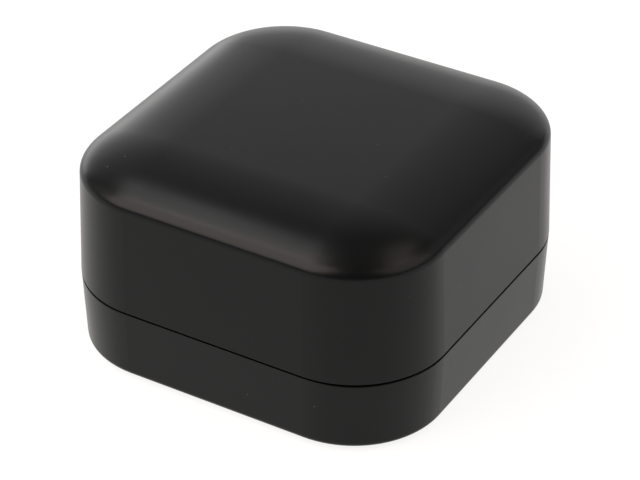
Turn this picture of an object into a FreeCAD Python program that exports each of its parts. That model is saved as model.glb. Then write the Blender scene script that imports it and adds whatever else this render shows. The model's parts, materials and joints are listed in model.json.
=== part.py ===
# Mesh wifi node: a rounded-square table-top box in two shells, with its board, ports and antennas.
# Millimetres. X runs across the node, +Y is the rear (port side), Z is up, and z = 0 is the table.
import FreeCAD
import Part
import Sketcher
import math
import os

os.makedirs("parts", exist_ok=True)
doc = FreeCAD.newDocument("mesh_wifi_node")

# ---------------------------------------------------------------- driving dimensions
SIZES = {
    # outside form
    "body_width": 100.0,       # across the flats at the seam
    "corner_radius": 25.0,
    "foot_height": 1.0,        # how far the feet hold the base off the table
    "base_top": 19.9,
    "seam_gap": 0.6,
    "crease_height": 49.0,     # where the wall turns into the rolled edge
    "cover_draft": 0.95,       # lean of the cover wall, per side
    "roll_width": 23.6,
    "roll_height": 7.3,
    "base_step": 0.05,
    "base_taper": 0.75,
    "base_edge": 1.6,
    "rim_edge": 0.2,           # rounding of both shells' edges at the seam
    # shells
    "wall": 2.2,
    "roof": 2.0,
    "floor": 2.2,
    "lip_thickness": 1.0,
    "lip_height": 2.4,
    "lip_play": 0.1,
    # fixings
    "screw_inset": 36.0,       # housing screws, posts and feet, from the middle
    "boss_radius": 3.5,
    "post_radius": 4.25,
    "post_top": 12.0,
    "screw_radius": 1.45,
    "screw_hole": 1.5,
    "screw_clear": 1.7,
    "screw_head": 2.8,
    "screw_head_height": 2.2,
    "shoulder": 4.2,           # height at which a screw head bears
    "foot_radius": 5.0,
    "foot_recess": 0.8,
    # main board
    "board_bottom": 5.0,
    "board_top": 6.6,
    "board_half": 42.0,
    "board_notch": 31.0,
    "board_screw_x": 38.0,
    "board_screw_y": 24.0,
    "board_screw_radius": 1.2,
    # rear port bay
    "bay_half": 31.0,
    "bay_low": 4.4,
    "bay_high": 18.6,
    "panel_face": 44.0,
    "panel_thickness": 2.0,
    "panel_half": 33.5,
    "jack_left": -8.0,
    "jack_right": 8.2,
    "jack_half": 7.95,
    "jack_top": 18.4,
    "jack_back": 24.0,
    "jack_front": 44.6,
    "inlet_x": -25.0,
    "inlet_z": 8.2,
    "light_x": -18.2,
    "light_z": 8.2,
    "sync_x": 21.0,
    "reset_x": 27.6,
    "button_z": 10.6,
    "sync_radius": 2.5,
    "reset_radius": 1.3,
    "switch_face": 39.4,
    "plunger_end": 40.5,
    # cooling
    "chip_y": -8.0,
    "sink_half_x": 20.0,
    "sink_half_y": 18.0,
    "sink_bottom": 8.3,
    "sink_plate": 2.5,
    "sink_top": 28.0,
    "fin_thickness": 1.2,
    "fin_count": 9,
    # radio shields
    "shield_x": 29.0,
    "shield_y": -2.0,
    "shield_width": 13.0,
    "shield_length": 26.0,
    "shield_height": 1.9,
    # antennas
    "carrier_half": 35.0,
    "carrier_bottom": 44.0,
    "carrier_thickness": 2.0,
    "carrier_screw": 27.0,
    "flap_bottom": 33.0,
    "flap_thickness": 1.6,
    "antenna_y": 14.0,
    "antenna_half": 11.0,
    "antenna_board": 0.8,
    "copper": 0.1,
    "socket_x": 38.6,
    "socket_y": 18.5,
    "coax_radius": 0.6,
    "coax_y": 9.0,
    "coax_low": 7.7,
}
dims = doc.addObject("Spreadsheet::Sheet", "Dims")
for row, (alias, size) in enumerate(SIZES.items(), start=1):
    dims.set("A%d" % row, alias)
    dims.set("B%d" % row, str(size))
    dims.setAlias("B%d" % row, alias)
doc.recompute()

CORNERS = [(1, 1), (-1, 1), (-1, -1), (1, -1)]


# ---------------------------------------------------------------- helpers
def formula(text):
    """Write a size formula with the sheet's name in front of every alias."""
    if not isinstance(text, str):
        return None
    words = text.replace("(", " ( ").replace(")", " ) ").split()
    return " ".join("Dims." + word if word in SIZES else word for word in words)


def value(text):
    """The number a size formula gives now."""
    if not isinstance(text, str):
        return float(text)
    found = dims.evalExpression(formula(text))
    return float(getattr(found, "Value", found))


def bind(thing, prop, text):
    """Set a property and, when it is given as a formula, tie it to the sheet."""
    setattr(thing, prop, value(text))
    if isinstance(text, str):
        thing.setExpression(prop, formula(text))


def new_body(name):
    return doc.addObject("PartDesign::Body", name)


def new_sketch(body, name, role="XY_Plane", offset=0.0):
    """A sketch on one of the body's own planes, moved along that plane's normal."""
    sketch = body.newObject("Sketcher::SketchObject", name)
    plane = next(item for item in body.Origin.OriginFeatures if item.Role == role)
    sketch.AttachmentSupport = (plane, "")
    sketch.MapMode = "FlatFace"
    sketch.AttachmentOffset = FreeCAD.Placement(FreeCAD.Vector(0, 0, value(offset)), FreeCAD.Rotation())
    if isinstance(offset, str):
        sketch.setExpression("AttachmentOffset.Base.z", formula(offset))
    return sketch


def pin_point(sketch, geometry, vertex, x, y):
    """Hold one sketch point at a bound position."""
    for kind, text, axis in (("DistanceX", x, -2), ("DistanceY", y, -1)):
        size = value(text)
        if abs(size) < 1e-9 and not isinstance(text, str):
            sketch.addConstraint(Sketcher.Constraint("PointOnObject", geometry, vertex, axis))
            continue
        index = sketch.addConstraint(Sketcher.Constraint(kind, -1, 1, geometry, vertex, size))
        if isinstance(text, str):
            sketch.setExpression("Constraints[%d]" % index, formula(text))


def add_polygon(sketch, points):
    places = [FreeCAD.Vector(value(x), value(y), 0) for x, y in points]
    first = sketch.GeometryCount
    count = len(places)
    for i in range(count):
        sketch.addGeometry(Part.LineSegment(places[i], places[(i + 1) % count]), False)
    for i in range(count):
        after = first + (i + 1) % count
        sketch.addConstraint(Sketcher.Constraint("Coincident", first + i, 2, after, 1))
    for i, (x, y) in enumerate(points):
        pin_point(sketch, first + i, 1, x, y)


def add_circle(sketch, x, y, radius):
    index = sketch.addGeometry(
        Part.Circle(FreeCAD.Vector(value(x), value(y), 0), FreeCAD.Vector(0, 0, 1), value(radius)), False
    )
    pin_point(sketch, index, 3, x, y)
    number = sketch.addConstraint(Sketcher.Constraint("Radius", index, value(radius)))
    if isinstance(radius, str):
        sketch.setExpression("Constraints[%d]" % number, formula(radius))


def add_rounded(sketch, x, y, width, height, radius):
    """A rectangle with round corners about (x, y)."""
    cx, cy, r = value(x), value(y), value(radius)
    half_w, half_h = value(width) / 2, value(height) / 2
    first = sketch.GeometryCount
    flats = [
        ((-half_w + r, -half_h), (half_w - r, -half_h)),
        ((half_w, -half_h + r), (half_w, half_h - r)),
        ((half_w - r, half_h), (-half_w + r, half_h)),
        ((-half_w, half_h - r), (-half_w, -half_h + r)),
    ]
    middles = [(half_w - r, -half_h + r), (half_w - r, half_h - r), (-half_w + r, half_h - r),
               (-half_w + r, -half_h + r)]
    for i in range(4):
        start, end = flats[i]
        sketch.addGeometry(
            Part.LineSegment(
                FreeCAD.Vector(cx + start[0], cy + start[1], 0), FreeCAD.Vector(cx + end[0], cy + end[1], 0)
            ),
            False,
        )
        ring = Part.Circle(
            FreeCAD.Vector(cx + middles[i][0], cy + middles[i][1], 0), FreeCAD.Vector(0, 0, 1), r
        )
        turn = math.radians(90 * i - 90)
        sketch.addGeometry(Part.ArcOfCircle(ring, turn, turn + math.pi / 2), False)
    for i in range(8):
        sketch.addConstraint(Sketcher.Constraint("Tangent", first + i, 2, first + (i + 1) % 8, 1))
    for i in (0, 4):
        sketch.addConstraint(Sketcher.Constraint("Horizontal", first + i))
        sketch.addConstraint(Sketcher.Constraint("Vertical", first + i + 2))
    for i in (3, 5, 7):
        sketch.addConstraint(Sketcher.Constraint("Equal", first + 1, first + i))
    sizes = [
        (Sketcher.Constraint("Radius", first + 1, r), radius),
        (Sketcher.Constraint("DistanceX", first + 6, 1, first + 2, 1, 2 * half_w), width),
        (Sketcher.Constraint("DistanceY", first, 1, first + 4, 1, 2 * half_h), height),
    ]
    for constraint, text in sizes:
        number = sketch.addConstraint(constraint)
        if isinstance(text, str):
            sketch.setExpression("Constraints[%d]" % number, formula(text))
    half_text = "( %s ) / 2 - ( %s )"
    pin_point(sketch, first + 1, 3, "( %s ) + " % x + half_text % (width, radius),
              "( %s ) - ( " % y + half_text % (height, radius) + " )")


def pad(body, sketch, length, back=False):
    feature = body.newObject("PartDesign::Pad", sketch.Name + "_pad")
    feature.Profile = sketch
    feature.Reversed = back
    bind(feature, "Length", length)
    doc.recompute()
    return feature


def pocket(body, sketch, length, back=False):
    """Cut along the sketch normal's far side, or its near side with back, and see that it cut."""
    before = body.Shape.Volume
    feature = body.newObject("PartDesign::Pocket", sketch.Name + "_pocket")
    feature.Profile = sketch
    feature.Reversed = back
    bind(feature, "Length", length)
    doc.recompute()
    if not body.Shape.Volume < before - 1e-4:
        raise RuntimeError("%s cuts nothing" % sketch.Name)
    return feature


def loft(body, kind, lower, upper):
    feature = body.newObject("PartDesign::" + kind, lower.Name + "_loft")
    feature.Profile = lower
    feature.Sections = [upper]
    feature.Ruled = True
    doc.recompute()
    return feature


def round_edges(body, name, edges, radius):
    before = body.Tip
    feature = body.newObject("PartDesign::Fillet", name)
    feature.Base = (before, edges)
    bind(feature, "Radius", radius)
    doc.recompute()
    return feature


def edges_at(shape, height, axis="z"):
    """Names of the edges that lie wholly in the plane at that height on an axis."""
    found = []
    for number, edge in enumerate(shape.Edges, start=1):
        low = getattr(edge.BoundBox, axis.upper() + "Min")
        high = getattr(edge.BoundBox, axis.upper() + "Max")
        if abs(low - height) < 0.01 and abs(high - height) < 0.01:
            found.append("Edge%d" % number)
    return found


def plate(name, role, offset, outline, length, back=False):
    """A body that is one pad; outline draws in its sketch."""
    body = new_body(name)
    sketch = new_sketch(body, name + "_outline", role, offset)
    outline(sketch)
    pad(body, sketch, length, back)
    return body


def turned(name, points):
    """A body turned about Z from (radius, height) points."""
    body = new_body(name)
    sketch = new_sketch(body, name + "_profile", "XZ_Plane")
    add_polygon(sketch, points)
    feature = body.newObject("PartDesign::Revolution", name + "_turn")
    feature.Profile = sketch
    feature.ReferenceAxis = (sketch, ["V_Axis"])
    feature.Angle = 360
    doc.recompute()
    return body


def stand_at(thing, x, y, z, axis=(0, 0, 1), angle=0.0):
    """Place a piece; its position follows the sheet."""
    turn = FreeCAD.Rotation(FreeCAD.Vector(*axis), angle)
    thing.Placement = FreeCAD.Placement(FreeCAD.Vector(value(x), value(y), value(z)), turn)
    for letter, text in (("x", x), ("y", y), ("z", z)):
        if isinstance(text, str):
            thing.setExpression("Placement.Base." + letter, formula(text))
    return thing


def block(name, x, y, z, length, width, height):
    """A box centred on x and y and standing on z."""
    piece = doc.addObject("Part::Box", name)
    for prop, text in (("Length", length), ("Width", width), ("Height", height)):
        bind(piece, prop, text)
    stand_at(piece, "( %s ) - ( %s ) / 2" % (x, length), "( %s ) - ( %s ) / 2" % (y, width), z)
    return piece


def rod(name, x, y, z, radius, height, axis=(0, 0, 1), angle=0.0):
    piece = doc.addObject("Part::Cylinder", name)
    for prop, text in (("Radius", radius), ("Height", height)):
        bind(piece, prop, text)
    return stand_at(piece, x, y, z, axis, angle)


def cut(name, base, tool):
    piece = doc.addObject("Part::Cut", name)
    piece.Base = base
    piece.Tool = tool
    return piece


def fuse(name, pieces):
    piece = doc.addObject("Part::MultiFuse", name)
    piece.Shapes = pieces
    return piece


def group(name, pieces):
    piece = doc.addObject("Part::Compound", name)
    piece.Links = pieces
    return piece


def at_corners(name, make, x, y, z):
    """Four like pieces, one in each quarter."""
    copies = []
    for number, (side_x, side_y) in enumerate(CORNERS):
        piece = make("%s_%d" % (name, number))
        copies.append(stand_at(piece, "%d * %s" % (side_x, x), "%d * %s" % (side_y, y), z))
    return group(name, copies)


NODES = []


def node(piece, label):
    piece.Label = label
    NODES.append(piece)
    return piece


# ---------------------------------------------------------------- cover
def square(sketch, width, radius):
    add_rounded(sketch, 0.0, 0.0, width, width, radius)


def quarter_circles(sketch, x, y, radius):
    for side_x, side_y in CORNERS:
        add_circle(sketch, "%d * %s" % (side_x, x), "%d * %s" % (side_y, y), radius)


def domed_form(name, inset, low, roof):
    """The cover's solid form, or with an inset and roof its hollow."""
    body = new_body(name)
    wide = "body_width - 2 * %s" % inset
    narrow = "body_width - 2 * cover_draft - 2 * %s" % inset
    foot = new_sketch(body, name + "_foot", "XY_Plane", low)
    square(foot, wide, "corner_radius - %s" % inset)
    crease = new_sketch(body, name + "_crease", "XY_Plane", "crease_height")
    square(crease, narrow, "corner_radius - cover_draft - %s" % inset)
    loft(body, "AdditiveLoft", foot, crease)
    if value(inset) == 0.0:
        round_edges(body, name + "_rim", edges_at(body.Shape, value(low)), "rim_edge")

    reach = value("body_width / 2 - cover_draft - %s" % inset)
    wide_axis = value("roll_width - %s" % inset)
    high_axis = value("roll_height - %s" % roof)
    height = value("crease_height")
    roll = new_sketch(body, name + "_roll", "XZ_Plane")
    middle = FreeCAD.Vector(reach - wide_axis, height, 0)
    outer = FreeCAD.Vector(reach, height, 0)
    upper = FreeCAD.Vector(reach - wide_axis, height + high_axis, 0)
    quarter = Part.ArcOfEllipse(Part.Ellipse(middle, wide_axis, high_axis), 0, math.pi / 2)
    roll.addGeometry([Part.LineSegment(middle, outer), quarter, Part.LineSegment(upper, middle)], False)
    for a, end, b, start in ((0, 2, 1, 1), (1, 2, 2, 1), (2, 2, 0, 1)):
        roll.addConstraint(Sketcher.Constraint("Coincident", a, end, b, start))
    roll.addConstraint(Sketcher.Constraint("Coincident", 1, 3, 0, 1))
    roll.addConstraint(Sketcher.Constraint("Horizontal", 0))
    roll.addConstraint(Sketcher.Constraint("Vertical", 2))
    bound = [
        (Sketcher.Constraint("DistanceX", 0, 1, 0, 2, wide_axis), "roll_width - %s" % inset),
        (Sketcher.Constraint("DistanceY", 2, 2, 2, 1, high_axis), "roll_height - %s" % roof),
        (Sketcher.Constraint("DistanceX", -1, 1, 0, 2, reach), "body_width / 2 - cover_draft - %s" % inset),
        (Sketcher.Constraint("DistanceY", -1, 1, 0, 2, height), "crease_height"),
    ]
    for constraint, text in bound:
        number = roll.addConstraint(constraint)
        roll.setExpression("Constraints[%d]" % number, formula(text))
    doc.recompute()
    pipe = body.newObject("PartDesign::AdditivePipe", name + "_rolled_edge")
    pipe.Profile = roll
    pipe.Spine = (crease, [])
    doc.recompute()

    plateau = new_sketch(body, name + "_plateau", "XY_Plane", "crease_height")
    square(plateau, "body_width - 2 * cover_draft - 2 * roll_width", "corner_radius - cover_draft - roll_width")
    pad(body, plateau, "roll_height - %s" % roof)
    return body


cover_form = domed_form("cover_form", 0.0, "base_top + seam_gap", 0.0)
boss = new_sketch(cover_form, "cover_bosses", "XY_Plane", "post_top")
quarter_circles(boss, "screw_inset", "screw_inset", "boss_radius")
pad(cover_form, boss, "crease_height - post_top")
boss_hole = new_sketch(cover_form, "cover_boss_holes", "XY_Plane", "post_top")
quarter_circles(boss_hole, "screw_inset", "screw_inset", "screw_hole")
pocket(cover_form, boss_hole, 12.0, back=True)
hanger_hole = new_sketch(cover_form, "carrier_boss_holes", "XY_Plane", "carrier_bottom + carrier_thickness")
quarter_circles(hanger_hole, "carrier_screw", "carrier_screw", 1.1)
pocket(cover_form, hanger_hole, 6.0, back=True)

cover_hollow = domed_form("cover_hollow", "wall", "base_top", "roof")
rebate = new_sketch(cover_hollow, "cover_rebate", "XY_Plane", "base_top")
square(rebate, "body_width - 2 * wall + 2 * lip_thickness + 2 * lip_play",
       "corner_radius - wall + lip_thickness + lip_play")
pad(cover_hollow, rebate, "lip_height + 0.3")
around_boss = new_sketch(cover_hollow, "around_bosses", "XY_Plane", "base_top - 1")
quarter_circles(around_boss, "screw_inset", "screw_inset", "boss_radius")
pocket(cover_hollow, around_boss, 60.0, back=True)
hanger = new_sketch(cover_hollow, "carrier_bosses", "XY_Plane", "carrier_bottom + carrier_thickness")
quarter_circles(hanger, "carrier_screw", "carrier_screw", 2.6)
pocket(cover_hollow, hanger, 20.0, back=True)
node(cut("top_cover_shell", cover_form, cover_hollow), "top_cover")

# ---------------------------------------------------------------- base
base = new_body("base_shell_body")
base_foot = new_sketch(base, "base_foot", "XY_Plane", "foot_height")
square(base_foot, "body_width - 2 * base_step - 2 * base_taper", "corner_radius - base_step - base_taper")
base_wall = pad(base, base_foot, "base_top - foot_height")
base_wall.setExpression("TaperAngle", "atan(Dims.base_taper / (Dims.base_top - Dims.foot_height))")
doc.recompute()
round_edges(base, "base_bottom_edge", edges_at(base.Shape, value("foot_height")), "base_edge")
round_edges(base, "base_top_edge", edges_at(base.Shape, value("base_top")), "rim_edge")
well_foot = new_sketch(base, "base_well_foot", "XY_Plane", "foot_height + floor")
square(well_foot, "body_width - 2 * wall - 2 * base_step - 2 * base_taper",
       "corner_radius - wall - base_step - base_taper")
well_rim = new_sketch(base, "base_well_rim", "XY_Plane", "base_top")
square(well_rim, "body_width - 2 * wall - 2 * base_step", "corner_radius - wall - base_step")
loft(base, "SubtractiveLoft", well_foot, well_rim)

lip = new_sketch(base, "base_lip", "XY_Plane", "base_top")
square(lip, "body_width - 2 * wall + 2 * lip_thickness - 2 * base_step",
       "corner_radius - wall + lip_thickness - base_step")
square(lip, "body_width - 2 * wall - 2 * base_step", "corner_radius - wall - base_step")
pad(base, lip, "lip_height")

posts = new_sketch(base, "base_posts", "XY_Plane", "foot_height + floor - 0.2")
quarter_circles(posts, "screw_inset", "screw_inset", "post_radius")
pad(base, posts, "post_top - foot_height - floor + 0.2")
board_posts = new_sketch(base, "base_board_posts", "XY_Plane", "foot_height + floor - 0.2")
quarter_circles(board_posts, "board_screw_x", "board_screw_y", 3.0)
pad(base, board_posts, "board_bottom - foot_height - floor + 0.2")

frame = new_sketch(base, "bay_frame", "XZ_Plane", "-47.9")
add_rounded(frame, 0.0, "( foot_height + floor + bay_high + 1.2 ) / 2 - 0.1", "2 * bay_half + 3",
            "bay_high + 1.4 - foot_height - floor", 1.0)
pad(base, frame, "47.9 - panel_face")
rails = new_sketch(base, "panel_rails", "XY_Plane", "foot_height + floor - 0.2")
for side in (1, -1):
    add_polygon(rails, [
        ("%d * ( panel_half + 0.1 )" % side, "panel_face - 3"),
        ("%d * ( panel_half + 1.7 )" % side, "panel_face - 3"),
        ("%d * ( panel_half + 1.7 )" % side, "panel_face + 1.5"),
        ("%d * ( panel_half + 0.1 )" % side, "panel_face + 1.5"),
    ])
pad(base, rails, 12.0)
window = new_sketch(base, "bay_window", "XZ_Plane", "-43.5")
add_rounded(window, 0.0, "( bay_low + bay_high ) / 2", "2 * bay_half", "bay_high - bay_low", 1.5)
pocket(base, window, 8.0)

for label, radius, depth in (
    ("foot_recesses", "foot_radius + 0.1", "foot_recess"),
    ("screw_head_wells", "screw_head + 0.3", "shoulder - foot_height"),
    ("screw_clearances", "screw_clear", "post_top - foot_height + 1"),
):
    drill = new_sketch(base, label, "XY_Plane", "foot_height")
    quarter_circles(drill, "screw_inset", "screw_inset", radius)
    pocket(base, drill, depth, back=True)
pilots = new_sketch(base, "board_screw_pilots", "XY_Plane", "board_bottom")
quarter_circles(pilots, "board_screw_x", "board_screw_y", 1.25)
pocket(base, pilots, 2.8)
recess = new_sketch(base, "label_recess", "XY_Plane", "foot_height")
add_rounded(recess, 0.0, -33.0, 44.4, 10.4, 1.2)
pocket(base, recess, 0.2, back=True)
vent = new_sketch(base, "floor_vent", "XY_Plane", "foot_height")
for middle in (-10.0, 14.0):
    add_rounded(vent, -26.4, middle, 2.4, 18.0, 1.1)
vent_cut = pocket(base, vent, "floor + 0.5", back=True)
vents = base.newObject("PartDesign::LinearPattern", "floor_vents")
vents.Originals = [vent_cut]
vents.Direction = (vent, ["H_Axis"])
vents.Length = 52.8
vents.Occurrences = 12
base.Tip = vents
doc.recompute()
node(base, "base_shell")


# ---------------------------------------------------------------- rear panel
def panel_outline(sketch):
    add_rounded(sketch, 0.0, "( foot_height + floor + bay_high + 1 ) / 2", "2 * panel_half",
                "bay_high + 1 - foot_height - floor", 1.0)
    add_rounded(sketch, "( jack_left + jack_right ) / 2", "( board_top + jack_top ) / 2",
                "jack_right - jack_left + 2 * jack_half + 0.5", "jack_top - board_top + 0.4", 0.4)
    add_rounded(sketch, "inlet_x", "inlet_z", 9.4, 3.7, 1.8)
    add_circle(sketch, "light_x", "light_z", 1.1)
    add_circle(sketch, "sync_x", "button_z", "sync_radius + 0.15")
    add_circle(sketch, "reset_x", "button_z", "reset_radius + 0.15")


panel = plate("port_panel", "XZ_Plane", "- panel_face", panel_outline, "panel_thickness")
node(panel, "rear_port_panel")


# ---------------------------------------------------------------- feet, screws and label
def make_foot(name):
    return turned(name, [
        (0.0, 0.0), ("foot_radius - 0.5", 0.0), ("foot_radius", 0.5),
        ("foot_radius", "foot_height + foot_recess"), (0.0, "foot_height + foot_recess"),
    ])


def make_housing_screw(name):
    return turned(name, [
        (0.0, -1.0), ("screw_head * 0.45", -1.0), ("screw_head * 0.45", "- screw_head_height"),
        ("screw_head * 0.8", "- screw_head_height"), ("screw_head", "0.5 - screw_head_height"),
        ("screw_head", 0.0), ("screw_radius", 0.0), ("screw_radius", 16.2), (0.6, 17.6), (0.0, 17.6),
    ])


def make_small_screw(name):
    """A pan-head screw with its head up and the underside of the head at z = 0."""
    return turned(name, [
        (0.0, -4.2), (0.5, -4.2), ("board_screw_radius", -3.4), ("board_screw_radius", 0.0), (2.3, 0.0),
        (2.3, 0.9), (1.8, 1.4), (1.0, 1.4), (1.0, 0.6), (0.0, 0.6),
    ])


def make_carrier_screw(name):
    """A small screw with its head down and the bearing face at z = 0."""
    return turned(name, [
        (0.0, -0.5), (0.8, -0.5), (0.8, -1.2), (1.6, -1.2), (2.0, -0.8), (2.0, 0.0), (1.05, 0.0),
        (1.05, 6.0), (0.4, 6.8), (0.0, 6.8),
    ])


node(at_corners("feet", make_foot, "screw_inset", "screw_inset", 0.0), "rubber_feet")
node(at_corners("long_screws", make_housing_screw, "screw_inset", "screw_inset", "shoulder"),
     "housing_screws")
node(at_corners("short_screws", make_small_screw, "board_screw_x", "board_screw_y", "board_top"),
     "board_screws")
node(at_corners("hanger_screws", make_carrier_screw, "carrier_screw", "carrier_screw", "carrier_bottom"),
     "carrier_screws")
label_sheet = plate("label_sheet", "XY_Plane", "foot_height",
                    lambda sketch: add_rounded(sketch, 0.0, -33.0, 44.0, 10.0, 1.0), 0.2)
node(label_sheet, "rating_label")


# ---------------------------------------------------------------- main board and its chips
def board_outline(sketch):
    half, notch, rear = "board_half", "board_notch", "board_half - 0.2"
    add_polygon(sketch, [
        ("- " + notch, "- " + half), (notch, "- " + half), (notch, "- " + notch), (half, "- " + notch),
        (half, notch), (notch, notch), (notch, rear), ("- " + notch, rear), ("- " + notch, notch),
        ("- " + half, notch), ("- " + half, "- " + notch), ("- " + notch, "- " + notch),
    ])
    quarter_circles(sketch, "board_screw_x", "board_screw_y", 1.35)
    add_circle(sketch, "sink_half_x - 3", "chip_y + sink_half_y - 3", 1.5)
    add_circle(sketch, "3 - sink_half_x", "chip_y - sink_half_y + 3", 1.5)


board = plate("circuit_board", "XY_Plane", "board_bottom", board_outline, "board_top - board_bottom")
node(board, "main_board")
node(block("processor", 0.0, "chip_y", "board_top", 14.0, 14.0, 1.2), "processor_chip")
node(block("pad_sheet", 0.0, "chip_y", "board_top + 1.2", 14.0, 14.0, "sink_bottom - board_top - 1.2"),
     "thermal_pad")

sink = new_body("finned_sink")
sink_plate = new_sketch(sink, "sink_plate_outline", "XY_Plane", "sink_bottom")
add_rounded(sink_plate, 0.0, "chip_y", "2 * sink_half_x", "2 * sink_half_y", 1.0)
add_circle(sink_plate, "sink_half_x - 3", "chip_y + sink_half_y - 3", 1.3)
add_circle(sink_plate, "3 - sink_half_x", "chip_y - sink_half_y + 3", 1.3)
pad(sink, sink_plate, "sink_plate")
fin = new_sketch(sink, "sink_fin", "XY_Plane", "sink_bottom + sink_plate")
add_rounded(fin, "fin_thickness / 2 - sink_half_x + 6", "chip_y", "fin_thickness", "2 * sink_half_y", 0.2)
fin_pad = pad(sink, fin, "sink_top - sink_bottom - sink_plate")
fins = sink.newObject("PartDesign::LinearPattern", "sink_fins")
fins.Originals = [fin_pad]
fins.Direction = (fin, ["H_Axis"])
fins.Length = value("2 * sink_half_x - 12 - fin_thickness")
fins.setExpression("Length", formula("2 * sink_half_x - 12 - fin_thickness"))
fins.Occurrences = int(SIZES["fin_count"])
sink.Tip = fins
doc.recompute()
node(sink, "heatsink")


def make_push_pin(name):
    """A push pin whose head sits on the heatsink plate and whose barb grips under the board."""
    return turned(name, [
        (0.0, -6.6), (0.5, -6.6), (1.9, -5.9), (1.9, -5.8), (1.1, -5.8), (1.1, 0.0), (2.2, 0.0),
        (2.2, 1.0), (1.6, 1.6), (0.0, 1.6),
    ])


pins = []
for number, side in enumerate((1, -1)):
    pin = make_push_pin("push_pin_%d" % number)
    pins.append(stand_at(pin, "%d * ( sink_half_x - 3 )" % side, "chip_y + %d * ( sink_half_y - 3 )" % side,
                         "sink_bottom + sink_plate"))
node(group("push_pins", pins), "heatsink_pins")

fences, lids, radios = [], [], []
for number, side in enumerate((1, -1)):
    middle = "%d * shield_x" % side
    outer = block("fence_outer_%d" % number, middle, "shield_y", "board_top", "shield_width",
                  "shield_length", "shield_height")
    inner = block("fence_inner_%d" % number, middle, "shield_y", "board_top - 1", "shield_width - 0.6",
                  "shield_length - 0.6", "shield_height + 2")
    fences.append(cut("fence_%d" % number, outer, inner))
    cap = block("lid_outer_%d" % number, middle, "shield_y", "board_top + 0.5", "shield_width + 0.6",
                "shield_length + 0.6", "shield_height - 0.2")
    room = block("lid_inner_%d" % number, middle, "shield_y", "board_top", "shield_width",
                 "shield_length", "shield_height")
    lids.append(cut("lid_%d" % number, cap, room))
    radios.append(block("radio_%d" % number, middle, "shield_y", "board_top", 8.0, 8.0, 0.9))
node(group("fences", fences), "shield_fences")
node(group("lids", lids), "shield_lids")
node(group("radios", radios), "radio_chips")

node(group("memories", [block("memory_%d" % i, x, -34.0, "board_top", 9.0, 12.0, 1.0)
                        for i, x in enumerate((-12.0, 1.0))]), "memory_chips")
node(block("flash", 15.0, -34.0, "board_top", 8.0, 6.0, 0.8), "flash_chip")
node(block("phy", 22.0, 18.0, "board_top", 9.0, 9.0, 0.9), "ethernet_chip")
node(group("magnetics", [block("magnetic_%d" % i, x, 17.5, "board_top", 12.6, 9.0, 4.0)
                         for i, x in enumerate(("jack_left", "jack_right"))]), "ethernet_transformers")
node(group("inductors", [block("inductor_%d" % i, -25.0, y, "board_top", 6.0, 6.0, 3.0)
                         for i, y in enumerate((28.0, 20.0))]), "power_inductors")
node(group("cans", [rod("can_%d" % i, x, y, "board_top", 2.5, 5.4)
                    for i, (x, y) in enumerate(((-19.0, 26.0), (-19.0, 32.0), (22.0, 28.0)))]),
     "power_capacitors")

# ---------------------------------------------------------------- ethernet jacks
JACKS = ("jack_left", "jack_right")
shells, inserts, contacts = [], [], []
for number, middle in enumerate(JACKS):
    deep = "jack_front - jack_back"
    tall = "jack_top - board_top"
    centre = "( jack_front + jack_back ) / 2"
    can = block("jack_can_%d" % number, middle, centre, "board_top", "2 * jack_half", deep, tall)
    room = block("jack_room_%d" % number, middle, centre + " + 0.3", "board_top - 1",
                 "2 * jack_half - 0.6", deep, tall + " + 0.7")
    shells.append(cut("jack_shell_%d" % number, can, room))

    fill = block("jack_fill_%d" % number, middle, centre + " + 0.1", "board_top", "2 * jack_half - 0.6",
                 deep + " - 0.4", tall + " - 0.3")
    mouth = block("jack_mouth_%d" % number, middle, "jack_front - 6", "board_top + 2.6", 11.8, 14.0, 7.4)
    latch = block("jack_latch_%d" % number, middle, "jack_front - 4", "board_top + 1.2", 6.4, 10.0, 2.0)
    comb = block("jack_comb_%d" % number, middle, "jack_front - 7.6", "board_top + 9.9", 9.0, 11.2, 1.0)
    inserts.append(cut("jack_insert_%d" % number, fill, fuse("jack_hole_%d" % number, [mouth, latch, comb])))

    for i in range(8):
        wire = plate(
            "wire_%d_%d" % (number, i), "YZ_Plane", "%s + %.2f" % (middle, 1.02 * i - 3.57 - 0.2),
            lambda sketch: add_polygon(sketch, [
                ("jack_front - 2", "board_top + 10.9"), ("jack_front - 2", "board_top + 10.5"),
                ("jack_front - 3", "board_top + 10.5"), ("jack_front - 11.6", "board_top + 7.2"),
                ("jack_front - 11.6", "board_top + 7.6"), ("jack_front - 3", "board_top + 10.9"),
            ]),
            0.4,
        )
        contacts.append(wire)
node(group("jack_shells", shells), "ethernet_jack_shells")
node(group("jack_inserts", inserts), "ethernet_jack_inserts")
node(group("jack_wires", contacts), "ethernet_jack_contacts")


# ---------------------------------------------------------------- power inlet
def inlet_ring(sketch):
    add_rounded(sketch, "inlet_x", "inlet_z", 9.0, 3.2, 1.55)
    add_rounded(sketch, "inlet_x", "inlet_z", 8.4, 2.6, 1.25)


node(plate("inlet_shell", "XZ_Plane", "-44.4", inlet_ring, 7.9), "usb_c_shell")
tongue = new_body("inlet_tongue")
tongue_back = new_sketch(tongue, "tongue_back", "XZ_Plane", "-38.1")
add_rounded(tongue_back, "inlet_x", "inlet_z", 8.4, 2.6, 1.25)
pad(tongue, tongue_back, 1.6)
tongue_blade = new_sketch(tongue, "tongue_blade", "XZ_Plane", "-43.6")
add_rounded(tongue_blade, "inlet_x", "inlet_z", 6.6, 0.7, 0.3)
pad(tongue, tongue_blade, 5.6)
node(tongue, "usb_c_tongue")
fingers = []
for number in range(12):
    for level, side in enumerate((1, -1)):
        place = "inlet_z + 0.4" if side > 0 else "inlet_z - 0.4"
        fingers.append(block("finger_%d_%d" % (number, level), "inlet_x + %.2f" % (0.5 * number - 2.75),
                             41.0, place + " - 0.05", 0.26, 4.2, 0.1))
node(group("inlet_fingers", fingers), "usb_c_contacts")


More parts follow.
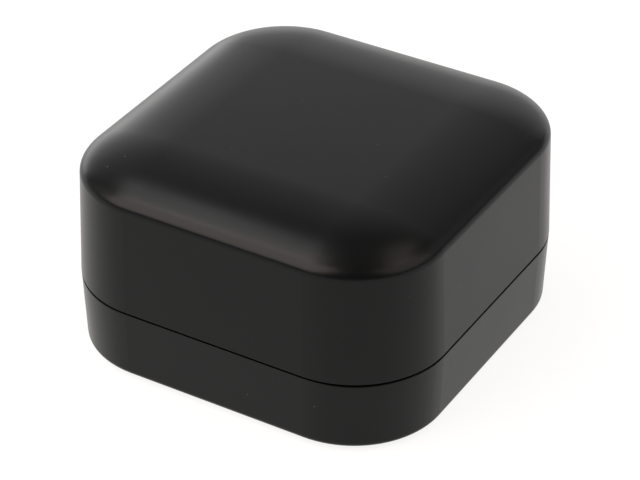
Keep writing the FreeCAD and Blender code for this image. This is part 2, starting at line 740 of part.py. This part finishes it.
# ---------------------------------------------------------------- buttons and status light
def make_cap(name, radius, face):
    """A round cap with a captive flange, turned about Z; the face is up and the flange back is z = 0."""
    flange_top = "panel_face - panel_thickness - plunger_end - 0.05"
    return turned(name, [
        (0.0, 0.0), ("%s + 0.7" % radius, 0.0), ("%s + 0.7" % radius, flange_top), (radius, flange_top),
        (radius, "%s - plunger_end - 0.3" % face), ("%s - 0.3" % radius, "%s - plunger_end" % face),
        (0.0, "%s - plunger_end" % face),
    ])


for label, middle, radius, face in (("sync", "sync_x", "sync_radius", "panel_face + 0.8"),
                                    ("reset", "reset_x", "reset_radius", "panel_face - 0.5")):
    cap = make_cap(label + "_cap", radius, face)
    node(stand_at(cap, middle, "plunger_end", "button_z", (1, 0, 0), -90), label + "_button")
    housing = block(label + "_switch", middle, "switch_face - 2.2", "board_top", 6.0, 4.4, 7.3)
    bore = rod(label + "_bore", middle, "switch_face - 2.2", "button_z", 1.6, 3.0, (1, 0, 0), -90)
    node(cut(label + "_switch_case", housing, bore), label + "_switch_body")
    plunger = rod(label + "_plunger", middle, "plunger_end - 2.5", "button_z", 1.5, 2.5, (1, 0, 0), -90)
    node(plunger, label + "_switch_plunger")

node(block("led", "light_x", 38.85, "board_top", 1.6, 0.9, 2.2), "status_led")
guide = turned("light_guide", [
    (0.0, 0.0), (1.0, 0.0), (1.0, 1.9), (1.5, 1.9), (1.5, 2.7), (1.0, 2.7), (1.0, 4.6), (0.7, 4.9),
    (0.0, 4.9),
])
node(stand_at(guide, "light_x", 39.3, "light_z", (1, 0, 0), -90), "status_light_pipe")

# ---------------------------------------------------------------- antenna carrier, antennas and coax
carrier = new_body("carrier_ring")
ring = new_sketch(carrier, "ring_outline", "XY_Plane", "carrier_bottom")
square(ring, "2 * carrier_half", 12.0)
square(ring, 44.0, 4.0)
quarter_circles(ring, "carrier_screw", "carrier_screw", 1.25)
pad(carrier, ring, "carrier_thickness")
flaps = new_sketch(carrier, "flap_outline", "XY_Plane", "flap_bottom")
for side_x, side_y in CORNERS:
    add_rounded(flaps, "%d * ( carrier_half - flap_thickness / 2 )" % side_x, "%d * antenna_y" % side_y,
                "flap_thickness", "2 * antenna_half - 4", 0.3)
pad(carrier, flaps, "carrier_bottom - flap_bottom + 0.5")
node(carrier, "antenna_carrier")

boards, low_band, high_band = [], [], []
for number, (side_x, side_y) in enumerate(CORNERS):
    boards.append(block("antenna_card_%d" % number,
                        "%d * ( carrier_half + antenna_board / 2 )" % side_x, "%d * antenna_y" % side_y,
                        "flap_bottom - 2", "antenna_board", "2 * antenna_half", 14.0))
    face = "carrier_half + antenna_board" if side_x > 0 else "- carrier_half - antenna_board - copper"
    near, far = "%d * coax_y" % side_y, "%d * ( antenna_y + antenna_half - 2 )" % side_y
    step = "%d * ( coax_y + 1.5 )" % side_y
    arm = "%d * ( coax_y + 7 )" % side_y
    if side_y > 0:
        outline = [
            ("%d * ( coax_y - 1.5 )" % side_y, 32.0), (step, 32.0), (step, 36.0), (far, 36.0), (far, 44.0),
            (arm, 44.0), (arm, 42.6), ("%d * ( antenna_y + antenna_half - 3.4 )" % side_y, 42.6),
            ("%d * ( antenna_y + antenna_half - 3.4 )" % side_y, 37.4), (step, 37.4), (step, 44.0),
            ("%d * ( coax_y - 1.5 )" % side_y, 44.0),
        ]
        keep = low_band
    else:
        outline = [
            ("%d * ( coax_y - 1.5 )" % side_y, 32.0), (step, 32.0), (step, 35.0), (arm, 35.0), (arm, 41.0),
            ("%d * ( coax_y - 1.5 )" % side_y, 41.0),
        ]
        keep = high_band
    keep.append(plate("antenna_foil_%d" % number, "YZ_Plane", face,
                      lambda sketch: add_polygon(sketch, outline), "copper"))
node(group("antenna_cards", boards), "antenna_boards")
node(group("low_band_foils", low_band), "antenna_foils_low_band")
node(group("high_band_foils", high_band), "antenna_foils_high_band")

sockets, plugs = [], []
for number, (side_x, side_y) in enumerate(CORNERS):
    x, y = "%d * socket_x" % side_x, "%d * socket_y" % side_y
    seat = block("socket_seat_%d" % number, x, y, "board_top", 2.6, 2.6, 0.3)
    nose = rod("socket_nose_%d" % number, x, y, "board_top + 0.2", 0.9, 0.7)
    sockets.append(fuse("socket_%d" % number, [seat, nose]))
    hood = rod("plug_hood_%d" % number, x, y, "board_top + 0.3", 1.3, 1.3)
    tail = block("plug_tail_%d" % number, x, "%d * ( socket_y - 2.1 )" % side_y, "coax_low - 0.7",
                 1.5, 2.0, 1.4)
    bore = rod("plug_bore_%d" % number, x, y, "board_top", 0.9, 0.9)
    plugs.append(cut("plug_%d" % number, fuse("plug_form_%d" % number, [hood, tail]), bore))
node(group("coax_seats", sockets), "coax_sockets")
node(group("coax_hoods", plugs), "coax_plugs")


def routed_cable(name, points, radius):
    """A round lead along straight runs joined by tangent arcs."""
    places = [FreeCAD.Vector(*point) for point in points]
    edges = []
    start = places[0]
    for before, corner, after in zip(places, places[1:], places[2:]):
        back = (before - corner).normalize()
        ahead = (after - corner).normalize()
        half_turn = (math.pi - back.getAngle(ahead)) / 2
        run = min((before - corner).Length, (after - corner).Length)
        trim = 0.45 * run
        bend = trim / math.tan(half_turn)
        enter = corner + back * trim
        leave = corner + ahead * trim
        toward = (back + ahead).normalize()
        centre = corner + toward * (bend / math.cos(half_turn))
        crown = centre - toward * bend
        edges.append(Part.LineSegment(start, enter).toShape())
        edges.append(Part.Arc(enter, crown, leave).toShape())
        start = leave
    edges.append(Part.LineSegment(start, places[-1]).toShape())
    path = Part.Wire(edges)
    section = Part.Wire([Part.Circle(places[0], places[1] - places[0], radius).toShape()])
    lead = doc.addObject("Part::Feature", name)
    lead.Shape = path.makePipeShell([section], True, False)
    return lead


foil_face = value("carrier_half + antenna_board + copper + coax_radius")
names = {(1, 1): "right_rear", (-1, 1): "left_rear", (-1, -1): "left_front", (1, -1): "right_front"}
for side_x, side_y in CORNERS:
    run_x, run_y = side_x * value("socket_x"), side_y * value("coax_y")
    low = value("coax_low")
    lead = routed_cable("lead_" + names[(side_x, side_y)], [
        (run_x, side_y * value("socket_y - 3.1"), low),
        (run_x, run_y, low),
        (run_x, run_y, 22.0),
        (side_x * foil_face, run_y, 28.0),
        (side_x * foil_face, run_y, 35.0),
    ], value("coax_radius"))
    node(lead, "coax_" + names[(side_x, side_y)])

# ---------------------------------------------------------------- check and write
doc.recompute()
for thing in doc.Objects:
    if "Invalid" in thing.State or "Error" in thing.State:
        raise RuntimeError("%s is in error: %s" % (thing.Name, thing.State))
for piece in NODES:
    if piece.Shape.isNull() or not piece.Shape.isValid():
        raise RuntimeError("%s has a bad shape" % piece.Label)
    piece.Shape.exportStep("parts/%s.step" % piece.Label)
print("%d nodes written" % len(NODES))
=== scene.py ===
import bpy
import json
import math
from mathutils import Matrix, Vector

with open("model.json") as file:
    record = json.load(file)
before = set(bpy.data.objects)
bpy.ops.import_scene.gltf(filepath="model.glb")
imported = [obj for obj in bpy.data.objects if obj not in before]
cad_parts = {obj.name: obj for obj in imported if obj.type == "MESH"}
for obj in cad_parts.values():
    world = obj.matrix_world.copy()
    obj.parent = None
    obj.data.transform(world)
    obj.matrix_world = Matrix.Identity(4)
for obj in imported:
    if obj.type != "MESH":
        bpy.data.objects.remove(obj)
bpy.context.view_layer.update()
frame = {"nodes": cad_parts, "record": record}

# Lengths are in metres. Noise and cell scales are counts for each metre.
MICRON = 0.000001
WHITE = (1.0, 1.0, 1.0)

scene = bpy.context.scene
nodes = frame["nodes"]


# ---------------------------------------------------------------- shader parts
NOISE_RANGE = (0.3, 0.7)  # nearly all values of a noise texture lie between these

DUST_CELLS = 150.0
DUST_EDGE = (0.012, 0.03)  # a speck fades out between these distances, in cells
DUST_COLOUR = (0.12, 0.12, 0.12)


def grey(level):
    return (level, level, level)


def new_material(name, colour, roughness, metallic=0.0, specular=0.5, ior=1.5):
    """A plain material, returned with its shader."""
    material = bpy.data.materials.new(name)
    material.use_nodes = True
    shader = material.node_tree.nodes["Principled BSDF"]
    shader.inputs["Base Color"].default_value = (*colour, 1.0)
    shader.inputs["Roughness"].default_value = roughness
    shader.inputs["Metallic"].default_value = metallic
    shader.inputs["Specular IOR Level"].default_value = specular
    shader.inputs["IOR"].default_value = ior
    return material, shader


def places(tree):
    """Places on the piece itself, so that a texture stays with it when it moves."""
    return tree.nodes.new("ShaderNodeTexCoord").outputs["Object"]


def noise(tree, scale, detail=3.0, stretch=(1.0, 1.0, 1.0)):
    """Soft random patches. A stretch above 1 makes them finer along that axis."""
    mapping = tree.nodes.new("ShaderNodeMapping")
    mapping.inputs["Scale"].default_value = stretch
    tree.links.new(places(tree), mapping.inputs["Vector"])
    texture = tree.nodes.new("ShaderNodeTexNoise")
    texture.inputs["Scale"].default_value = scale
    texture.inputs["Detail"].default_value = detail
    tree.links.new(mapping.outputs["Vector"], texture.inputs["Vector"])
    return texture.outputs["Fac"]


def remap(tree, source, old, new, interpolation="LINEAR"):
    """Carry a value from one range to another, and hold it at their ends."""
    ramp = tree.nodes.new("ShaderNodeMapRange")
    ramp.interpolation_type = interpolation
    ramp.inputs["From Min"].default_value, ramp.inputs["From Max"].default_value = old
    ramp.inputs["To Min"].default_value, ramp.inputs["To Max"].default_value = new
    tree.links.new(source, ramp.inputs["Value"])
    return ramp.outputs["Result"]


def colour_mix(tree, factor, second):
    """A mix towards the second colour. The caller sets or links the first one, A."""
    mix = tree.nodes.new("ShaderNodeMix")
    mix.data_type = "RGBA"
    mix.inputs["B"].default_value = (*second, 1.0)
    tree.links.new(factor, mix.inputs["Factor"])
    return mix


def tint(tree, factor, first, second):
    """A colour that wanders between two colours."""
    mix = colour_mix(tree, factor, second)
    mix.inputs["A"].default_value = (*first, 1.0)
    return mix.outputs["Result"]


def dust(tree, surface):
    """Sparse pale specks, about a third of a millimetre across, over a surface colour."""
    cells = tree.nodes.new("ShaderNodeTexVoronoi")
    cells.inputs["Scale"].default_value = DUST_CELLS
    tree.links.new(places(tree), cells.inputs["Vector"])
    speck = remap(tree, cells.outputs["Distance"], DUST_EDGE, (1.0, 0.0))
    mix = colour_mix(tree, speck, DUST_COLOUR)
    tree.links.new(surface, mix.inputs["A"])
    return mix.outputs["Result"]


def bump(tree, shader, height, depth):
    node = tree.nodes.new("ShaderNodeBump")
    node.inputs["Strength"].default_value = 1.0
    node.inputs["Distance"].default_value = depth
    tree.links.new(height, node.inputs["Height"])
    tree.links.new(node.outputs["Normal"], shader.inputs["Normal"])


# ---------------------------------------------------------------- materials
GRAIN_DETAIL = 2.0

GLOSS_PATCHES = 45.0
COLOUR_PATCHES = 30.0
COLOUR_SPREAD = 0.15  # how far the colour wanders, as a part of itself

METAL_GRAIN = 1500.0
METAL_DEPTH = 2 * MICRON
BRUSHED_DULLER, BRUSHED_SHINIER = 0.08, 0.06


def moulded(name, colour, roughness, spread=0.03, grain=900.0, depth=4 * MICRON,
            specular=0.5, ior=1.5, dusty=False):
    """Moulded plastic: even colour, slightly uneven gloss and a fine grain."""
    material, shader = new_material(name, colour, roughness, specular=specular, ior=ior)
    tree = material.node_tree
    gloss = (roughness - spread, roughness + spread)
    uneven = remap(tree, noise(tree, GLOSS_PATCHES), NOISE_RANGE, gloss)
    tree.links.new(uneven, shader.inputs["Roughness"])
    darker = tuple(part * (1.0 - COLOUR_SPREAD) for part in colour)
    lighter = tuple(part * (1.0 + COLOUR_SPREAD) for part in colour)
    patches = remap(tree, noise(tree, COLOUR_PATCHES), NOISE_RANGE, (0.0, 1.0))
    surface = tint(tree, patches, darker, lighter)
    if dusty:
        surface = dust(tree, surface)
    tree.links.new(surface, shader.inputs["Base Color"])
    bump(tree, shader, noise(tree, grain, GRAIN_DETAIL), depth)
    return material


def metal(name, colour, roughness, stretch=(1.0, 1.0, 1.0)):
    """Bare metal, with a grain that a stretch turns into brush marks."""
    material, shader = new_material(name, colour, roughness, metallic=1.0)
    tree = material.node_tree
    brushed = noise(tree, METAL_GRAIN, GRAIN_DETAIL, stretch)
    gloss = (roughness - BRUSHED_SHINIER, roughness + BRUSHED_DULLER)
    tree.links.new(remap(tree, brushed, NOISE_RANGE, gloss), shader.inputs["Roughness"])
    bump(tree, shader, brushed, METAL_DEPTH)
    return material


def milky(name, colour, roughness, transmission=0.6, ior=1.49, grain=1500.0, depth=4 * MICRON):
    """Cloudy clear plastic with a fine grain."""
    material, shader = new_material(name, colour, roughness, ior=ior)
    shader.inputs["Transmission Weight"].default_value = transmission
    bump(material.node_tree, shader, noise(material.node_tree, grain), depth)
    return material


SATIN_SHELL = dict(roughness=0.29, spread=0.012, grain=2600.0, specular=0.21, ior=1.45, dusty=True)

PLASTICS = {
    "cover_black": dict(colour=(0.0020, 0.0025, 0.0024), depth=0.6 * MICRON, **SATIN_SHELL),
    "base_black": dict(colour=(0.0022, 0.0026, 0.0025), depth=0.8 * MICRON, **SATIN_SHELL),
    "panel_black": dict(colour=grey(0.014), roughness=0.55, grain=1800.0, depth=10 * MICRON),
    "foot_rubber": dict(colour=grey(0.02), roughness=0.75, spread=0.05, grain=1200.0,
                        depth=10 * MICRON),
    "label_film": dict(colour=grey(0.45), roughness=0.4, spread=0.02, grain=1500.0,
                       depth=2 * MICRON),
    "board_laminate": dict(colour=(0.012, 0.07, 0.035), roughness=0.35, spread=0.04, grain=500.0,
                           depth=10 * MICRON),
    "chip_epoxy": dict(colour=(0.02, 0.02, 0.022), roughness=0.6, grain=2500.0, depth=6 * MICRON),
    "thermal_silicone": dict(colour=(0.3, 0.4, 0.55), roughness=0.8),
    "pin_nylon": dict(colour=(0.7, 0.69, 0.65), roughness=0.5),
    "jack_plastic": dict(colour=grey(0.02), roughness=0.45, grain=1500.0, depth=6 * MICRON),
    "ferrite": dict(colour=(0.06, 0.06, 0.065), roughness=0.55, spread=0.05, grain=1800.0,
                    depth=20 * MICRON),
    "switch_plastic": dict(colour=grey(0.03), roughness=0.5),
    "button_plastic": dict(colour=grey(0.045), roughness=0.4, spread=0.02, grain=1500.0),
    "reset_plastic": dict(colour=grey(0.2), roughness=0.45),
    "plunger_plastic": dict(colour=(0.45, 0.05, 0.04), roughness=0.45),
    "carrier_plastic": dict(colour=grey(0.07), roughness=0.55, grain=1300.0, depth=10 * MICRON),
    "antenna_laminate": dict(colour=(0.02, 0.02, 0.023), roughness=0.4),
    "coax_jacket": dict(colour=grey(0.06), roughness=0.3),
    "led_epoxy": dict(colour=(0.8, 0.78, 0.62), roughness=0.2),
}
METALS = {
    "screw_steel": dict(colour=(0.55, 0.55, 0.57), roughness=0.32),
    "small_screw_steel": dict(colour=(0.62, 0.61, 0.6), roughness=0.3),
    "tin_plate": dict(colour=(0.7, 0.7, 0.69), roughness=0.38, stretch=(1.0, 8.0, 1.0)),
    "nickel_shell": dict(colour=(0.62, 0.61, 0.59), roughness=0.3, stretch=(1.0, 6.0, 1.0)),
    "sink_aluminium": dict(colour=(0.75, 0.76, 0.78), roughness=0.35, stretch=(1.0, 1.0, 12.0)),
    "capacitor_can": dict(colour=(0.72, 0.72, 0.74), roughness=0.3),
    "gold_contact": dict(colour=(0.9, 0.66, 0.3), roughness=0.22),
    "antenna_copper": dict(colour=(0.85, 0.48, 0.33), roughness=0.35),
}

finishes = {name: moulded(name, **look) for name, look in PLASTICS.items()}
finishes.update({name: metal(name, **look) for name, look in METALS.items()})
finishes["light_pipe"] = milky("light_pipe", colour=(0.86, 0.88, 0.89), roughness=0.25)
finishes["tongue_plastic"] = finishes["jack_plastic"]

for part in frame["record"]["subparts"]:
    piece = nodes[part["node"]]
    piece.data.materials.clear()
    piece.data.materials.append(finishes[part["material_slot"]])


# ---------------------------------------------------------------- table
# White paper that glows a little, so that it stays white beside the soft lamps.
TABLE_SIDE = 8.0
PAPER_GREY = 0.15
PAPER_SPREAD = 0.005
PAPER_PATCHES = 60.0
PAPER_ROUGHNESS = 0.9
PAPER_GLOW = 0.88
PAPER_GLOW_COLOUR = (1.0, 0.99, 0.98)

bpy.ops.mesh.primitive_plane_add(size=TABLE_SIDE)
floor = bpy.context.object
floor.name = "studio_floor"
paper, paper_shader = new_material("studio_paper", grey(PAPER_GREY), PAPER_ROUGHNESS, specular=0.0)
paper_shader.inputs["Emission Color"].default_value = (*PAPER_GLOW_COLOUR, 1.0)
paper_shader.inputs["Emission Strength"].default_value = PAPER_GLOW
paper_tree = paper.node_tree
paper_colour = tint(paper_tree, noise(paper_tree, PAPER_PATCHES),
                    grey(PAPER_GREY - PAPER_SPREAD), grey(PAPER_GREY + PAPER_SPREAD))
paper_tree.links.new(paper_colour, paper_shader.inputs["Base Color"])
floor.data.materials.append(paper)


# ---------------------------------------------------------------- lamps
CAMERA_TURN = math.radians(30.75)
CAMERA_RISE = math.radians(33.45)

LAMP_DISTANCE = 1.6
WARM = (1.0, 0.86, 0.82)


def toward(turn, rise):
    """A direction given as a turn from the front, towards the right, and a rise above the table."""
    return Vector((
        math.sin(turn) * math.cos(rise),
        -math.cos(turn) * math.cos(rise),
        math.sin(rise),
    ))


def softbox(name, turn, rise, size, radiance, colour=WHITE, glossy=True):
    """A soft rectangle aimed at the node.

    Turn and rise are in degrees, and turn counts from the camera's side, towards the right.
    Size is the lamp's width and height for each metre of its distance.
    """
    width, height = size
    light = bpy.data.lights.new(name, "AREA")
    light.shape = "RECTANGLE"
    light.size = LAMP_DISTANCE * width
    light.size_y = LAMP_DISTANCE * height
    light.energy = radiance * math.pi * light.size * light.size_y
    light.color = colour
    lamp = bpy.data.objects.new(name, light)
    scene.collection.objects.link(lamp)
    way = toward(CAMERA_TURN + math.radians(turn), math.radians(rise))
    lamp.location = way * LAMP_DISTANCE
    lamp.rotation_euler = way.to_track_quat("Z", "Y").to_euler()
    lamp.visible_camera = False
    lamp.visible_glossy = glossy


# The key is on the left and the fill on the right. The top, crown and strip lamps show in the
# rolled edge, the side lamps in the walls, and the back lamps in the far rims.
softbox("key_softbox", turn=-66, rise=45, size=(0.74, 0.72), radiance=4.6, colour=WARM)
softbox("key_top", turn=-70, rise=65, size=(0.50, 0.18), radiance=1.5, colour=WARM)
softbox("key_crown", turn=-105, rise=71, size=(0.24, 0.12), radiance=4.0, colour=WARM)
softbox("key_strip", turn=-119, rise=62, size=(0.52, 0.22), radiance=4.1)
softbox("key_side", turn=-100, rise=30, size=(0.50, 0.50), radiance=0.6)
softbox("fill_softbox", turn=65, rise=42, size=(0.80, 0.72), radiance=1.7, colour=WARM)
softbox("fill_crown", turn=103, rise=65, size=(0.60, 0.26), radiance=1.9, colour=WARM)
softbox("fill_side", turn=105, rise=30, size=(0.50, 0.40), radiance=0.5)
softbox("back_low", turn=180, rise=7, size=(2.20, 0.24), radiance=0.45)
softbox("back_mid", turn=180, rise=23, size=(2.00, 0.32), radiance=1.0)
softbox("back_high", turn=180, rise=42, size=(1.80, 0.40), radiance=0.45)
softbox("back_left", turn=-150, rise=8, size=(0.70, 0.26), radiance=2.1)
softbox("overhead", turn=0, rise=89, size=(1.60, 1.60), radiance=0.7, glossy=False)


# ---------------------------------------------------------------- surroundings
HORIZON_FADE = (0.045, 0.14)  # sines of the heights between which the glow fades
HORIZON_GLOW = (1.5, 0.11)  # strength below the fade and above it

world = bpy.data.worlds.new("studio")
world.use_nodes = True
sky = world.node_tree
split = sky.nodes.new("ShaderNodeSeparateXYZ")
direction = sky.nodes.new("ShaderNodeTexCoord").outputs["Generated"]
sky.links.new(direction, split.inputs["Vector"])
glow = remap(sky, split.outputs["Z"], HORIZON_FADE, HORIZON_GLOW, "SMOOTHSTEP")
background = sky.nodes["Background"]
background.inputs["Color"].default_value = (*WHITE, 1.0)
sky.links.new(glow, background.inputs["Strength"])
scene.world = world


# ---------------------------------------------------------------- camera
CAMERA_DISTANCE = 0.6589
CAMERA_AIM = Vector((0.0, 0.0, 0.031))
LENS_MM = 147.4
SENSOR_MM = 36.0
LENS_SHIFT = (0.0033, -0.0482)  # as parts of the picture's width

camera_data = bpy.data.cameras.new("camera")
camera_data.lens = LENS_MM
camera_data.sensor_width = SENSOR_MM
camera_data.shift_x, camera_data.shift_y = LENS_SHIFT
camera = bpy.data.objects.new("camera", camera_data)
scene.collection.objects.link(camera)
way = toward(CAMERA_TURN, CAMERA_RISE)
camera.location = way * CAMERA_DISTANCE + CAMERA_AIM
camera.rotation_euler = way.to_track_quat("Z", "Y").to_euler()
scene.camera = camera

scene.view_settings.view_transform = "Standard"
scene.view_settings.look = "None"
scene.view_settings.exposure = 0.0
